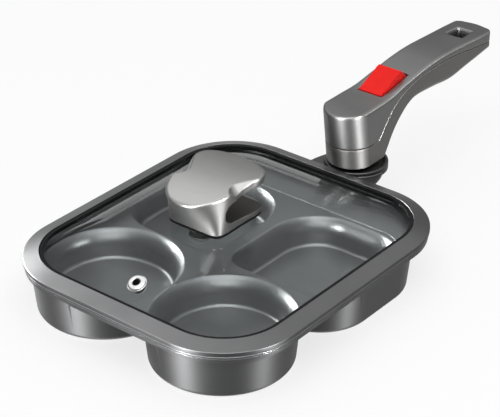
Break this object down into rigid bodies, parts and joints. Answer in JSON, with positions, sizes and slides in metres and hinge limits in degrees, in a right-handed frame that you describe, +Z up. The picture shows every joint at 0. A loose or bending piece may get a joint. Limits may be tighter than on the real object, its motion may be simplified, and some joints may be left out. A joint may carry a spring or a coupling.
{
  "type": "divided breakfast pan",
  "caption": "Cast breakfast pan with round and square-ended wells, a domed glass lid with an open-sided knob, and a swivelling handle with a wedge release button",
  "frame": {"origin": "on the ground plane under the middle of the whole length, cups standing on z = 0", "axes": "+Y runs along the handle towards its tip, +Z is up, +X is to the right seen from the wells towards the handle"},
  "size_m": [0.22, 0.4367, 0.1001],
  "materials": {
    "cast_metal": "dark grey satin coating with fine grain",
    "satin_metal": "satin silver grey",
    "dark_satin_metal": "satin warm grey",
    "steel": "plain steel",
    "bright_metal": "polished",
    "black_plastic": "matte black",
    "black_silicone": "smooth black silicone",
    "clear_glass": "clear tempered glass",
    "red_plastic": "satin red"
  },
  "bodies": {
    "pan": {"pan_body": "cast_metal", "handle_bracket": "cast_metal", "bracket_screw_right": "steel", "bracket_screw_left": "steel", "seat_liner": "black_plastic"},
    "lid": {"lid_ring": "cast_metal", "lid_seal": "black_silicone", "lid_glass": "clear_glass", "vent_eyelet": "bright_metal", "knob_body": "satin_metal", "knob_pad": "black_plastic", "knob_boss": "steel", "knob_washer": "steel", "knob_screw": "steel"},
    "handle": {"handle_upper_shell": "satin_metal", "handle_lower_shell": "dark_satin_metal", "shell_screw_1": "steel", "shell_screw_2": "steel", "swivel_hub": "black_plastic", "pivot_washer": "steel", "pivot_bolt": "steel", "pivot_nut": "steel", "button_pin": "steel", "lock_spring": "steel"},
    "button": {"release_button": "red_plastic"},
    "lock": {"lock_pin": "steel"}
  },
  "joints": [
    {"name": "lid_lift", "type": "slide", "parent": "pan", "child": "lid", "axis": [0, -0.2873, 0.9578], "range_m": [0, 0.16]},
    {"name": "handle_swivel", "type": "hinge", "parent": "pan", "child": "handle", "pos_m": [0, 0.0579, 0.042], "axis": [0, 0, 1], "range_deg": [0, 150]},
    {"name": "button_press", "type": "hinge", "parent": "handle", "child": "button", "pos_m": [0, 0.0754, 0.0835], "axis": [-1, 0, 0], "range_deg": [0, 8], "stiffness_Nm_per_rad": 0.8, "springref_deg": -3.44},
    {"name": "lock_pin_lift", "type": "slide", "parent": "handle", "child": "lock", "axis": [0, 0, 1], "range_m": [0, 0.00474], "deforming": ["lock_spring"]}
  ],
  "couplings": [
    {"joint": "button_press", "follows": "lock_pin_lift", "rad_per_m": 29.4}
  ]
}
